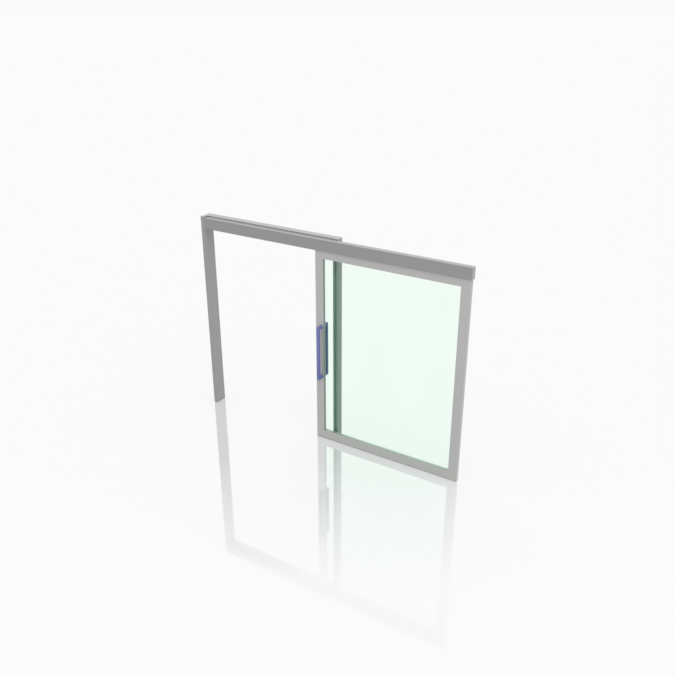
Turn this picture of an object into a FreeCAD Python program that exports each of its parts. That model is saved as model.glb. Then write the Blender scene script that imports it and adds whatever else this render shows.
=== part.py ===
import FreeCAD, Part
import os
import re

import Sketcher

# A single-leaf glass sliding door with an aluminium frame. The leaf hangs from roller carriages
# in a track in front of the wall, and stands open in the rest position.
# Sizes below run from the outer side face of the left jamb (x), the front face of the track
# cover (y, away from the viewer) and the finished floor (z). The model's origin is the centre
# of the left jamb's foot, so every sub-part's place is moved by half the jamb.
DIMENSIONS = {
    "passage_width": 1572.0,
    "passage_height": 2100.0,
    "jamb_width": 42.0,
    "rear_jamb_width": 54.0,
    "profile_wall": 3.0,
    "rear_depth": 80.0,
    "foot_thick": 6.0,
    "cap_thick": 3.0,
    "header_height": 115.0,
    "head_rise": 15.0,
    "cover_thick": 3.0,
    "cover_gap": 8.0,
    "track_wall": 4.0,
    "track_lip": 7.0,
    "end_gap": 8.0,
    "roller_rail_width": 6.0,
    "roller_rail_height": 8.0,
    "wall_bolt_radius": 4.5,
    "wall_bolt_inset": 125.0,
    "wall_bolt_rise": 30.0,
    "leaf_reveal": 175.0,
    "leaf_lap": 9.0,
    "leaf_rise": 14.0,
    "leaf_thick": 44.0,
    "profile_face": 92.0,
    "glazing_depth": 20.0,
    "rear_lip_setback": 6.0,
    "glass_thick": 10.0,
    "glass_setback": 8.0,
    "glass_bite": 16.0,
    "gasket_thick": 3.0,
    "gasket_show": 1.0,
    "seal_thick": 4.0,
    "seal_width": 20.0,
    "sweep_gap": 1.0,
    "channel_depth": 27.0,
    "running_gap": 5.0,
    "guide_length": 60.0,
    "guide_plate": 3.0,
    "guide_gap": 7.0,
    "bar_length": 590.0,
    "bar_width": 32.0,
    "bar_depth": 26.0,
    "bar_round": 3.0,
    "handle_gap": 41.0,
    "handle_inset": 61.0,
    "handle_middle": 1018.0,
    "post_width": 30.0,
    "post_height": 30.0,
    "carriage_length": 150.0,
    "carriage_inset": 180.0,
    "carriage_plate": 6.0,
    "carriage_foot": 20.0,
    "axle_radius": 5.0,
    "axle_spacing": 90.0,
    "wheel_tread": 18.0,
    "wheel_flange": 20.0,
    "wheel_width": 10.0,
    "wheel_rim": 1.5,
    "wheel_play": 0.1,
    "wheel_headroom": 7.7,
    "rolling_gap": 0.3,
    "hanger_radius": 6.0,
    "hanger_nut": 10.0,
    "hanger_nut_height": 8.0,
    "stop_length": 32.0,
    "buffer_radius": 6.0,
    "buffer_length": 14.0,
    "plug_height": 12.0,
}

# Sizes and places that follow from the dimensions above and are used by several sub-parts.
LEAF_FRONT = "(cover_thick + cover_gap)"
HEADER_DEPTH = "(" + LEAF_FRONT + " + leaf_thick + running_gap)"
FRAME_DEPTH = "(" + HEADER_DEPTH + " + rear_depth)"
HEADER_TOP = "(passage_height + header_height)"
FRAME_HEIGHT = "(" + HEADER_TOP + " + head_rise)"
RIGHT_JAMB = "(jamb_width + passage_width)"
LEAF_CLOSED = "(jamb_width + running_gap + seal_thick)"
LEAF_WIDTH = "(" + RIGHT_JAMB + " + rear_jamb_width + leaf_lap - " + LEAF_CLOSED + ")"
LEAF_OPEN = "(" + RIGHT_JAMB + " - leaf_reveal)"
LEAF_END = "(" + LEAF_OPEN + " + " + LEAF_WIDTH + ")"
TRACK_END = "(" + LEAF_END + " + end_gap)"
TRACK_LENGTH = "(" + TRACK_END + " - jamb_width)"
LEAF_GAP = "(guide_plate + running_gap)"
LEAF_TOP = "(passage_height + leaf_rise)"
LEAF_HEIGHT = "(" + LEAF_TOP + " - " + LEAF_GAP + ")"
LEAF_MIDDLE = "(" + LEAF_FRONT + " + leaf_thick / 2)"
ROLLER_HEIGHT = "(roller_rail_height + rolling_gap + wheel_tread + wheel_flange)"
SHELF_DROP = "(track_wall + wheel_headroom + " + ROLLER_HEIGHT + ")"
TRACK_BACK = "(" + SHELF_DROP + " + track_wall + track_lip)"
SHELF_TOP = "(" + HEADER_TOP + " - " + SHELF_DROP + ")"
SHELF_DEPTH = "(wheel_width + running_gap)"
SHELF_FRONT = "(" + HEADER_DEPTH + " - track_wall - " + SHELF_DEPTH + ")"
RAIL_TOP = "(" + SHELF_TOP + " + roller_rail_height)"
WHEEL_CENTRE = "(" + RAIL_TOP + " + rolling_gap + wheel_tread)"
CARRIAGE_BASE = "(" + SHELF_TOP + " - track_wall - running_gap - carriage_plate)"
CARRIAGE_TOP = "(" + WHEEL_CENTRE + " + wheel_flange)"
CARRIAGE_FRONT = "(" + SHELF_FRONT + " - running_gap - carriage_plate)"
CHANNEL_WIDTH = "(leaf_thick - 2 * profile_wall)"
POCKET_FRONT = "(glass_setback - gasket_thick)"
POCKET_BACK = "(glass_setback + glass_thick + gasket_thick)"
GLASS_INSET = "(profile_face - glass_bite)"

doc = FreeCAD.newDocument("SlidingDoor")
sheet = doc.addObject("Spreadsheet::Sheet", "dims")
pieces = []


def fill_sheet():
    """Put each driving dimension in a cell of its own, under its name."""
    for row, (alias, value) in enumerate(DIMENSIONS.items(), start=1):
        sheet.set("A" + str(row), alias)
        sheet.set("B" + str(row), str(value))
        sheet.setAlias("B" + str(row), alias)
    doc.recompute()


def bound(formula):
    """Turn a formula on the dimension names into one on the sheet's cells."""
    return re.sub(r"[a-z]+(_[a-z]+)+", lambda found: "dims." + found.group(0), formula)


def place(piece, left, front, base):
    """Bind a sub-part's place, given from the outer jamb face, the cover and the floor."""
    piece.setExpression("Placement.Base.x", bound(left + " - jamb_width / 2"))
    piece.setExpression("Placement.Base.y", bound(front + " - " + FRAME_DEPTH + " / 2"))
    piece.setExpression("Placement.Base.z", bound(base))


def new_body(label):
    """Start a sub-part whose name is also its file's name."""
    body = doc.addObject("PartDesign::Body", label)
    body.Label = label
    pieces.append(body)
    return body


def new_sketch(body, plane):
    """Add a sketch on one of the body's own origin planes."""
    sketch = body.newObject("Sketcher::SketchObject", body.Name + "_sketch")
    origin_plane = [item for item in body.Origin.OriginFeatures if item.Role == plane][0]
    sketch.AttachmentSupport = [(origin_plane, "")]
    sketch.MapMode = "FlatFace"
    return sketch


def pin_point(sketch, line, across, up):
    """Hold a line's start point at two formulas, or on the axes where they are zero."""
    if across == "0" and up == "0":
        sketch.addConstraint(Sketcher.Constraint("Coincident", line, 1, -1, 1))
        return
    for kind, formula, axis in (("DistanceX", across, -2), ("DistanceY", up, -1)):
        if formula == "0":
            sketch.addConstraint(Sketcher.Constraint("PointOnObject", line, 1, axis))
            continue
        point = sketch.getPoint(line, 1)
        now = point.x if kind == "DistanceX" else point.y
        number = sketch.addConstraint(Sketcher.Constraint(kind, -1, 1, line, 1, now))
        sketch.setExpression("Constraints[" + str(number) + "]", bound(formula))


def number_of(formula):
    """Work out a formula from the dimensions, for the sketch's first guess."""
    total = doc.addObject("App::FeaturePython", "scratch_number")
    total.addProperty("App::PropertyFloat", "amount")
    total.setExpression("amount", bound(formula))
    total.recompute()
    value = total.amount
    doc.removeObject(total.Name)
    return value


def outline(sketch, corners):
    """Draw a closed outline whose corners are pairs of formulas."""
    points = [FreeCAD.Vector(number_of(across), number_of(up), 0) for across, up in corners]
    first = sketch.GeometryCount
    for start, end in zip(points, points[1:] + points[:1]):
        sketch.addGeometry(Part.LineSegment(start, end), False)
    last = sketch.GeometryCount - 1
    for line in range(first, last):
        sketch.addConstraint(Sketcher.Constraint("Coincident", line, 2, line + 1, 1))
    sketch.addConstraint(Sketcher.Constraint("Coincident", last, 2, first, 1))
    for line, (across, up) in enumerate(corners, start=first):
        pin_point(sketch, line, across, up)


def rectangle(left, low, right, high):
    """List the corners of an upright rectangle."""
    return [(left, low), (right, low), (right, high), (left, high)]


def pad(body, plane, outlines, length):
    """Extrude one or more outlines in the direction of the positive axis across the plane."""
    sketch = new_sketch(body, plane)
    for corners in outlines:
        outline(sketch, corners)
    doc.recompute()
    feature = body.newObject("PartDesign::Pad", body.Name + "_pad")
    feature.Profile = sketch
    feature.setExpression("Length", bound(length))
    feature.Reversed = plane == "XZ_Plane"
    doc.recompute()
    return feature


def circle_sketch(body, plane, centres, radius):
    """Draw equal circles at pairs of formulas on one of the body's planes."""
    sketch = new_sketch(body, plane)
    for across, up in centres:
        middle = FreeCAD.Vector(number_of(across), number_of(up), 0)
        axis = FreeCAD.Vector(0, 0, 1)
        ring = sketch.addGeometry(Part.Circle(middle, axis, number_of(radius)), False)
        size = sketch.addConstraint(Sketcher.Constraint("Radius", ring, number_of(radius)))
        sketch.setExpression("Constraints[" + str(size) + "]", bound(radius))
        for kind, formula, now in (("DistanceX", across, middle.x), ("DistanceY", up, middle.y)):
            held = sketch.addConstraint(Sketcher.Constraint(kind, -1, 1, ring, 3, now))
            sketch.setExpression("Constraints[" + str(held) + "]", bound(formula))
    doc.recompute()
    return sketch


def cut_through(body, sketch):
    """Cut a sketch right through the body both ways, and make sure that it removed something."""
    before = body.Shape.Volume
    feature = body.newObject("PartDesign::Pocket", body.Name + "_pocket")
    feature.Profile = sketch
    feature.Type = "ThroughAll"
    feature.Midplane = True
    doc.recompute()
    if body.Shape.Volume >= before:
        raise ValueError(body.Label + ": the pocket removed nothing")


def plain_block(label, size, spot):
    """A plain rectangular sub-part."""
    block = doc.addObject("Part::Box", label)
    block.Label = label
    for side, formula in zip(("Length", "Width", "Height"), size):
        block.setExpression(side, bound(formula))
    place(block, *spot)
    pieces.append(block)
    return block


def hollow_section(width, depth, dividers=()):
    """A rectangular tube's outlines, with webs across its depth."""
    outlines = [rectangle("0", "0", width, depth)]
    starts = ["profile_wall"] + [web + " + profile_wall" for web in dividers]
    ends = list(dividers) + [depth + " - profile_wall"]
    for start, end in zip(starts, ends):
        outlines.append(rectangle("profile_wall", start, width + " - profile_wall", end))
    return outlines


def jamb(label, left, front, width, depth, dividers=()):
    """A hollow upright post with a foot plate under it and a cap on it."""
    post = new_body(label)
    pad(post, "XY_Plane", hollow_section(width, depth, dividers),
        FRAME_HEIGHT + " - foot_thick - cap_thick")
    place(post, left, front, "foot_thick")
    plain_block(label + "_foot_plate", (width, depth, "foot_thick"), (left, front, "0"))
    plain_block(label + "_top_cap", (width, depth, "cap_thick"),
                (left, front, FRAME_HEIGHT + " - cap_thick"))


def rear_head():
    """The hollow head that spans the two jambs behind the track."""
    head = new_body("rear_head")
    pad(head, "YZ_Plane", hollow_section("rear_depth", "(header_height + head_rise)"),
        "passage_width")
    place(head, "jamb_width", HEADER_DEPTH, "passage_height")


def track_header():
    """The track: top plate, back plate on the wall and the shelf that carries the rail."""
    track = new_body("track_header")
    depth = "(" + HEADER_DEPTH + " - cover_thick)"
    back = "(" + depth + " - track_wall)"
    shelf = "(" + back + " - " + SHELF_DEPTH + ")"
    shelf_top = "(" + TRACK_BACK + " - " + SHELF_DROP + ")"
    under_top = "(" + TRACK_BACK + " - track_wall)"
    section = [
        ("0", TRACK_BACK), ("0", under_top), (back, under_top), (back, shelf_top),
        (shelf, shelf_top), (shelf, shelf_top + " - track_wall"),
        (back, shelf_top + " - track_wall"), (back, "0"), (depth, "0"), (depth, TRACK_BACK),
    ]
    pad(track, "YZ_Plane", [section], TRACK_LENGTH)
    wall_ends = (RIGHT_JAMB + " + wall_bolt_inset", TRACK_LENGTH + " - wall_bolt_inset")
    bolt_up = "((" + shelf_top + " + " + under_top + ") / 2)"
    holes = [
        (across, bolt_up + level + "wall_bolt_rise / 2")
        for across in wall_ends for level in (" - ", " + ")
    ]
    cut_through(track, circle_sketch(track, "XZ_Plane", holes, "wall_bolt_radius"))
    place(track, "jamb_width", "cover_thick", HEADER_TOP + " - " + TRACK_BACK)


def header_trim():
    """The flat front cover of the track, its end cap and the steel rail inside."""
    plain_block("track_cover", (TRACK_LENGTH, "cover_thick", "header_height"),
                ("jamb_width", "0", "passage_height"))
    plain_block("header_end_cap", ("cap_thick", HEADER_DEPTH, "header_height"),
                (TRACK_END, "0", "passage_height"))
    rail_front = SHELF_FRONT + " + (wheel_width - roller_rail_width) / 2"
    plain_block("roller_rail", (TRACK_LENGTH, "roller_rail_width", "roller_rail_height"),
                ("jamb_width", rail_front, SHELF_TOP))


def floor_guide():
    """The block on a floor plate that keeps the leaf's foot in line, by the right jamb."""
    guide = new_body("floor_guide")
    width = "(" + CHANNEL_WIDTH + " - 2 * running_gap)"
    plate = "(" + HEADER_DEPTH + " - " + LEAF_MIDDLE + " + " + width + " / 2)"
    top = "(" + LEAF_GAP + " + channel_depth - guide_gap)"
    section = [
        ("0", "0"), (plate, "0"), (plate, "guide_plate"), (width, "guide_plate"), (width, top),
        ("0", top),
    ]
    pad(guide, "YZ_Plane", [section], "guide_length")
    place(guide, RIGHT_JAMB + " + (rear_jamb_width - guide_length) / 2",
          LEAF_MIDDLE + " - " + width + " / 2", "0")


def stops():
    """The two end stops in the track, each a block with a rubber buffer facing the leaf."""
    width = "(" + HEADER_DEPTH + " - track_wall - " + CARRIAGE_FRONT + ")"
    base = "(" + RAIL_TOP + " + running_gap)"
    height = "(" + CARRIAGE_TOP + " - " + base + ")"
    half = "carriage_length / 2"
    closed_end = "(" + LEAF_CLOSED + " + carriage_inset - " + half + " - running_gap)"
    open_end = "(" + LEAF_END + " - carriage_inset + " + half + " + running_gap)"
    starts = {
        "closed": (closed_end + " - buffer_length - stop_length", closed_end + " - buffer_length"),
        "open": (open_end + " + buffer_length", open_end),
    }
    for end, (block_left, buffer_left) in starts.items():
        plain_block(end + "_stop_block", ("stop_length", width, height),
                    (block_left, CARRIAGE_FRONT, base))
        buffer = doc.addObject("Part::Cylinder", end + "_stop_buffer")
        buffer.Label = end + "_stop_buffer"
        buffer.setExpression("Radius", bound("buffer_radius"))
        buffer.setExpression("Height", bound("buffer_length"))
        buffer.Placement.Rotation = FreeCAD.Rotation(FreeCAD.Vector(0, 1, 0), 90)
        place(buffer, buffer_left, CARRIAGE_FRONT + " + buffer_radius", base + " + " + height + " / 2")
        pieces.append(buffer)


def glazed_section():
    """Section of a leaf member: outline, main chamber and the chamber of its rear lip.

    The glazing groove is at the far end of the face, between the front lip and the rear lip.
    """
    groove = "profile_face - glazing_depth"
    rear_edge = "profile_face - rear_lip_setback"
    inner_back = "leaf_thick - profile_wall"
    outer = [
        ("0", "0"), ("profile_face", "0"), ("profile_face", POCKET_FRONT),
        (groove, POCKET_FRONT), (groove, POCKET_BACK), (rear_edge, POCKET_BACK),
        (rear_edge, "leaf_thick"), ("0", "leaf_thick"),
    ]
    chamber = rectangle("profile_wall", "profile_wall", groove + " - profile_wall", inner_back)
    lip = rectangle(groove, POCKET_BACK + " + profile_wall", rear_edge + " - profile_wall",
                    inner_back)
    return [outer, chamber, lip]


def flipped(outlines):
    """Turn a leaf member's outlines round, so that the glazing groove is at the near end."""
    ends = {"0": "profile_face", "profile_face": "0"}
    return [
        [(ends.get(across, "profile_face - (" + across + ")"), up) for across, up in corners]
        for corners in outlines
    ]


def turned(outlines):
    """Swap the two axes of each outline, for a member that lies along the leaf."""
    return [[(up, across) for across, up in corners] for corners in outlines]


def stile(label, left, outlines):
    """A full-height upright of the leaf."""
    member = new_body(label)
    pad(member, "XY_Plane", outlines, LEAF_HEIGHT)
    place(member, left, LEAF_FRONT, LEAF_GAP)
    return member


def leaf_frame():
    """The leaf's two stiles and two rails, with the guide channel in its foot."""
    stile("left_stile", LEAF_OPEN, glazed_section())
    right = stile("right_stile", LEAF_END + " - profile_face", flipped(glazed_section()))
    notch = new_sketch(right, "YZ_Plane")
    outline(notch, rectangle("profile_wall", "0", "leaf_thick - profile_wall", "channel_depth"))
    doc.recompute()
    cut_through(right, notch)

    length = LEAF_WIDTH + " - 2 * profile_face"
    inner_left = LEAF_OPEN + " + profile_face"
    top = new_body("top_rail")
    pad(top, "YZ_Plane", turned(flipped(glazed_section())), length)
    place(top, inner_left, LEAF_FRONT, LEAF_TOP + " - profile_face")

    foot = new_body("bottom_rail")
    outer, _, lip = turned(glazed_section())
    over_channel = rectangle("profile_wall", "channel_depth + profile_wall",
                             "leaf_thick - profile_wall",
                             "profile_face - glazing_depth - profile_wall")
    pad(foot, "YZ_Plane", [outer, over_channel, lip], length)
    channel = new_sketch(foot, "YZ_Plane")
    outline(channel, rectangle("profile_wall", "0", "leaf_thick - profile_wall", "channel_depth"))
    doc.recompute()
    cut_through(foot, channel)
    place(foot, inner_left, LEAF_FRONT, LEAF_GAP)

    plain_block("left_stile_foot_plug",
                ("profile_face - glazing_depth - 2 * profile_wall", CHANNEL_WIDTH, "plug_height"),
                (LEAF_OPEN + " + profile_wall", LEAF_FRONT + " + profile_wall", LEAF_GAP))
    plain_block("leading_edge_seal", ("seal_thick", "seal_width", LEAF_HEIGHT),
                (LEAF_OPEN + " - seal_thick", LEAF_MIDDLE + " - seal_width / 2", LEAF_GAP))
    plain_block("bottom_sweep_seal", (LEAF_WIDTH, "profile_wall", LEAF_GAP + " - sweep_gap"),
                (LEAF_OPEN, LEAF_FRONT, "sweep_gap"))


def glazing():
    """The glass pane and the rubber gasket on each side of it."""
    pane_width = "(" + LEAF_WIDTH + " - 2 * " + GLASS_INSET + ")"
    pane_height = "(" + LEAF_HEIGHT + " - 2 * " + GLASS_INSET + ")"
    left = LEAF_OPEN + " + " + GLASS_INSET
    base = LEAF_GAP + " + " + GLASS_INSET
    plain_block("glass_pane", (pane_width, "glass_thick", pane_height),
                (left, LEAF_FRONT + " + glass_setback", base))
    front_band = "(glass_bite + gasket_show)"
    sides = {
        "front": (LEAF_FRONT + " + " + POCKET_FRONT, front_band),
        "rear": (LEAF_FRONT + " + glass_setback + glass_thick",
                 "(" + front_band + " - rear_lip_setback)"),
    }
    for side, (front, band) in sides.items():
        gasket = new_body(side + "_glazing_gasket")
        outlines = [
            rectangle("0", "0", pane_width, pane_height),
            rectangle(band, band, pane_width + " - " + band, pane_height + " - " + band),
        ]
        pad(gasket, "XZ_Plane", outlines, "gasket_thick")
        place(gasket, left, front, base)


def pull_handles():
    """A long pull bar on two posts on each face of the leading stile."""
    middle = "(" + LEAF_OPEN + " + handle_inset)"
    base = "(handle_middle - bar_length / 2)"
    sides = {
        "front": (LEAF_FRONT + " - handle_gap - bar_depth", LEAF_FRONT + " - handle_gap"),
        "rear": (LEAF_FRONT + " + leaf_thick + handle_gap", LEAF_FRONT + " + leaf_thick"),
    }
    for side, (bar_front, post_front) in sides.items():
        bar = new_body(side + "_pull_bar")
        section = rectangle("0", "0", "bar_width", "bar_depth")
        shaft = pad(bar, "XY_Plane", [section], "bar_length")
        rounded = bar.newObject("PartDesign::Fillet", bar.Name + "_fillet")
        upright = [
            "Edge" + str(number) for number, edge in enumerate(shaft.Shape.Edges, start=1)
            if edge.BoundBox.ZLength > edge.BoundBox.XLength + edge.BoundBox.YLength
        ]
        rounded.Base = (shaft, upright)
        rounded.setExpression("Radius", bound("bar_round"))
        doc.recompute()
        place(bar, middle + " - bar_width / 2", bar_front, base)
        for level, height in (("upper", "bar_length - post_height"), ("lower", "0")):
            plain_block(side + "_pull_" + level + "_post",
                        ("post_width", "handle_gap", "post_height"),
                        (middle + " - post_width / 2", post_front, base + " + " + height))


def carriage(label, middle):
    """A roller carriage: foot, upright plate and two axles, with its wheels and hanger bolt."""
    block = new_body(label)
    foot_front = "(" + LEAF_MIDDLE + " - carriage_foot / 2)"
    plate_front = "(" + CARRIAGE_FRONT + " - " + foot_front + ")"
    plate_back = "(" + plate_front + " + carriage_plate)"
    height = "(" + CARRIAGE_TOP + " - " + CARRIAGE_BASE + ")"
    section = [
        ("0", "0"), ("carriage_foot", "0"), ("carriage_foot", "carriage_plate"),
        (plate_back, "carriage_plate"), (plate_back, height), (plate_front, height),
        (plate_front, "carriage_plate"), ("0", "carriage_plate"),
    ]
    pad(block, "YZ_Plane", [section], "carriage_length")
    axle_height = "(" + WHEEL_CENTRE + " - " + CARRIAGE_BASE + ")"
    half = "carriage_length / 2"
    axles = circle_sketch(block, "XZ_Plane", [
        (half + " - axle_spacing / 2", axle_height),
        (half + " + axle_spacing / 2", axle_height),
    ], "axle_radius")
    shafts = block.newObject("PartDesign::Pad", block.Name + "_axles")
    shafts.Profile = axles
    shafts.setExpression("Length", bound(SHELF_FRONT + " + wheel_width - " + foot_front))
    shafts.Reversed = True
    doc.recompute()
    place(block, middle + " - " + half, foot_front, CARRIAGE_BASE)

    for side, sign in (("left", "-"), ("right", "+")):
        wheel(label + "_" + side + "_wheel", middle + " " + sign + " axle_spacing / 2")
    hanger_bolt(label.replace("carriage", "hanger_bolt"), middle)


def wheel(label, middle):
    """A flanged roller that runs on the rail."""
    roller = new_body(label)
    sketch = new_sketch(roller, "XY_Plane")
    bore = "axle_radius + wheel_play"
    outline(sketch, [
        (bore, "0"), ("wheel_flange", "0"), ("wheel_flange", "wheel_rim"),
        ("wheel_tread", "wheel_rim"), ("wheel_tread", "wheel_width - wheel_rim"),
        ("wheel_flange", "wheel_width - wheel_rim"), ("wheel_flange", "wheel_width"),
        (bore, "wheel_width"),
    ])
    doc.recompute()
    spin = roller.newObject("PartDesign::Revolution", roller.Name + "_turned")
    spin.Profile = sketch
    spin.ReferenceAxis = (sketch, ["V_Axis"])
    spin.Angle = 360.0
    doc.recompute()
    place(roller, middle, SHELF_FRONT, WHEEL_CENTRE)


def hanger_bolt(label, middle):
    """The bolt that hangs the leaf from a carriage, with its lock nut on the top rail."""
    shank = doc.addObject("Part::Cylinder", label + "_shank")
    shank.setExpression("Radius", bound("hanger_radius"))
    shank.setExpression("Height", bound(CARRIAGE_BASE + " - " + LEAF_TOP))
    nut = doc.addObject("Part::Prism", label + "_nut")
    nut.Polygon = 6
    nut.setExpression("Circumradius", bound("hanger_nut"))
    nut.setExpression("Height", bound("hanger_nut_height"))
    bolt = doc.addObject("Part::Fuse", label)
    bolt.Label = label
    bolt.Base = shank
    bolt.Tool = nut
    place(bolt, middle, LEAF_MIDDLE, LEAF_TOP)
    pieces.append(bolt)


def check_pieces():
    """Stop if any object failed or any sub-part has no sound solid."""
    for item in doc.Objects:
        if "Invalid" in item.State or "Error" in item.State:
            raise ValueError(item.Label + " failed: " + str(item.State))
    for piece in pieces:
        if piece.Shape.isNull() or not piece.Shape.isValid() or not piece.Shape.Solids:
            raise ValueError(piece.Label + " has no valid solid")


def write_pieces():
    """Write one file for each sub-part and print its size."""
    os.makedirs("parts", exist_ok=True)
    for piece in pieces:
        piece.Shape.exportStep("parts/" + piece.Label + ".step")
        box = piece.Shape.BoundBox
        print(piece.Label, len(piece.Shape.Solids), round(piece.Shape.Volume),
              [round(side, 1) for side in (box.XMin, box.XMax, box.YMin, box.YMax,
                                           box.ZMin, box.ZMax)])


fill_sheet()
jamb("left_jamb", "0", "0", "jamb_width", FRAME_DEPTH, dividers=(HEADER_DEPTH,))
jamb("right_jamb", RIGHT_JAMB, HEADER_DEPTH, "rear_jamb_width", "rear_depth")
rear_head()
track_header()
header_trim()
stops()
floor_guide()
leaf_frame()
glazing()
pull_handles()
carriage("left_carriage", "(" + LEAF_OPEN + " + carriage_inset)")
carriage("right_carriage", "(" + LEAF_END + " - carriage_inset)")
doc.recompute()
check_pieces()
write_pieces()
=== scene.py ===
"""Looks of a sliding glass patio door: a framed glass leaf hung from a covered track."""

import logging
import math
from collections.abc import Callable, Iterator
from contextlib import contextmanager
from dataclasses import dataclass, field
from enum import Enum

import bmesh
import bpy
from mathutils import Matrix, Vector


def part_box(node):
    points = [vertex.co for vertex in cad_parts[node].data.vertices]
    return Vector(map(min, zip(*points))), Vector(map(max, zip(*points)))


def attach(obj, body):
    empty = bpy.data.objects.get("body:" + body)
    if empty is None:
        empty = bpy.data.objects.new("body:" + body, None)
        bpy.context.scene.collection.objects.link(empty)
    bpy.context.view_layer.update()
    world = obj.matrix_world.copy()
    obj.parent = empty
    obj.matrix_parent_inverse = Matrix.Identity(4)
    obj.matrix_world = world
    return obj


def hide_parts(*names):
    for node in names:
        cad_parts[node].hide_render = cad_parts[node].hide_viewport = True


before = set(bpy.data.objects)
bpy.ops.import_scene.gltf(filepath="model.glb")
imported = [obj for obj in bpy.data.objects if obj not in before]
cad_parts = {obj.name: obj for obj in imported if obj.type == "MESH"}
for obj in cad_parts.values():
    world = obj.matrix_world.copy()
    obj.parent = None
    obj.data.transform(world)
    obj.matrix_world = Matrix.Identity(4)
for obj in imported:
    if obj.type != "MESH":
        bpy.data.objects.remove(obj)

LOG = logging.getLogger("sliding_door")
Colour = tuple[float, float, float]
Piece = bpy.types.Object
Material = bpy.types.Material
Node = bpy.types.Node
Socket = bpy.types.NodeSocket
Test = Callable[[Vector, Vector], bool]
MM = 0.001
MERGE = 0.01 * MM
ALIGNED = 0.9
SMOOTH_MARGIN = 10.0
FLAT_ANGLE = math.radians(1.0)
SHARP_ANGLE = math.radians(40.0)
WHITE = (1, 1, 1, 1)
MIX_FIRST, MIX_SECOND, MIX_RESULT = 6, 7, 2
UP = Vector((0, 0, 1))
RIGHT = Vector((1, 0, 0))
BACK = Vector((0, 1, 0))


class Grain(Enum):
    """Which way the drawing lines of an extruded profile run."""

    UPRIGHT = (1.0, 1.0, 0.004)
    ALONG = (0.004, 1.0, 1.0)
    NONE = (1.0, 1.0, 1.0)


class Slot(Enum):
    """The record's material slots."""

    FIXED = "fixed_aluminium"
    LEAF = "frame_aluminium"
    MILL = "mill_aluminium"
    ZINC = "zinc_steel"
    RUBBER = "black_rubber"
    GASKET = "grey_rubber"
    NYLON = "nylon"
    HANDLE = "handle_finish"
    GLASS = "glass"


def toned(colour: Colour, factor: float) -> Colour:
    """A colour made lighter or darker."""
    return tuple(min(1.0, channel * factor) for channel in colour)


@dataclass
class Sheet:
    """A node tree, with short calls for the nodes that the finishes and the studio share."""

    tree: bpy.types.NodeTree

    def feed(self, target: Socket, value: object) -> None:
        """Links a socket to an input, or writes a plain value into the input.

        Args:
            target: The input.
            value: The socket or the plain value.
        """
        if isinstance(value, Socket):
            self.tree.links.new(value, target)
        else:
            target.default_value = value

    def fill(self, node: Node, **values: object) -> Node:
        """Gives a node its named properties and inputs.

        Args:
            node: The node.
            values: Properties, or inputs with the blanks in their names as underscores.

        Returns:
            The node.
        """
        for key, value in values.items():
            if hasattr(node, key):
                setattr(node, key, value)
            else:
                self.feed(node.inputs[key.replace("_", " ")], value)
        return node

    def add(self, kind: str, *terms: object, **values: object) -> Node:
        """Adds a node.

        Args:
            kind: The node's type without its ShaderNode prefix.
            terms: Sockets or plain values for its inputs, in their order.
            values: Named properties and inputs, as fill takes them.

        Returns:
            The new node.
        """
        node = self.fill(self.tree.nodes.new("ShaderNode" + kind), **values)
        for target, term in zip(node.inputs, terms):
            self.feed(target, term)
        return node

    def math(self, operation: str, *terms: object) -> Socket:
        """The result of one operation on sockets or numbers."""
        return self.add("Math", *terms, operation=operation).outputs[0]

    def layer(self, share: Socket, under: Socket, over: Socket) -> Socket:
        """Mixes two shaders."""
        return self.add("MixShader", share, under, over).outputs[0]

    def show(self, shader: Socket) -> None:
        """Makes a shader the material's surface."""
        self.feed(self.tree.nodes["Material Output"].inputs["Surface"], shader)

    def places(self, scale: float | Colour = 1.0) -> Socket:
        """Object coordinates, stretched.

        Args:
            scale: One scale for all axes, or one for each.

        Returns:
            The stretched coordinates.
        """
        scales = scale if isinstance(scale, tuple) else (scale,) * 3
        spot = self.add("TexCoord").outputs["Object"]
        return self.add("Mapping", Vector=spot, Scale=scales).outputs["Vector"]

    def height(self) -> Socket:
        """How high a point lies above the floor."""
        return self.add("SeparateXYZ", self.places()).outputs["Z"]

    def noise(self, scale: float | Colour, detail: float, roughness: float = 0.55) -> Socket:
        """A noise pattern on object coordinates, from 0 to 1."""
        return self.add("TexNoise", Vector=self.places(scale), Scale=1.0, Detail=detail,
                        Roughness=roughness).outputs["Fac"]

    def spread(self, source: Socket, low: float, high: float, start: float = 0.3,
               end: float = 0.7) -> Socket:
        """Maps a pattern's range onto another range."""
        return self.add("MapRange", source, start, end, low, high).outputs["Result"]

    def blend(self, share: Socket, first: Colour | Socket, second: Colour) -> Socket:
        """Mixes two colours by a pattern.

        Args:
            share: The pattern, 0 for the first colour and 1 for the second.
            first: The first colour, plain or a socket.
            second: The second colour.

        Returns:
            The mixed colour.
        """
        mix = self.add("Mix", share, data_type="RGBA")
        for place, colour in ((MIX_FIRST, first), (MIX_SECOND, second)):
            self.feed(mix.inputs[place], (*colour, 1) if isinstance(colour, tuple) else colour)
        return mix.outputs[MIX_RESULT]

    def mottle(self, pattern: Socket, colour: Colour, dark: float, light: float) -> Socket:
        """A colour that a pattern takes from one tone to another."""
        return self.blend(self.spread(pattern, 0.0, 1.0), toned(colour, dark),
                          toned(colour, light))

    def bump(self, height: Socket, depth: float, strength: float) -> Socket:
        """A bump of a real depth in metres."""
        return self.add("Bump", Height=height, Distance=depth, Strength=strength).outputs["Normal"]


def begin(name: str) -> tuple[Material, Sheet, Node]:
    """Starts a material with one plain shader.

    Args:
        name: The material's name.

    Returns:
        The material, the sheet of its node tree and its shader node.
    """
    material = bpy.data.materials.new(name)
    material.use_nodes = True
    tree = material.node_tree
    return material, Sheet(tree), tree.nodes["Principled BSDF"]


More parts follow.
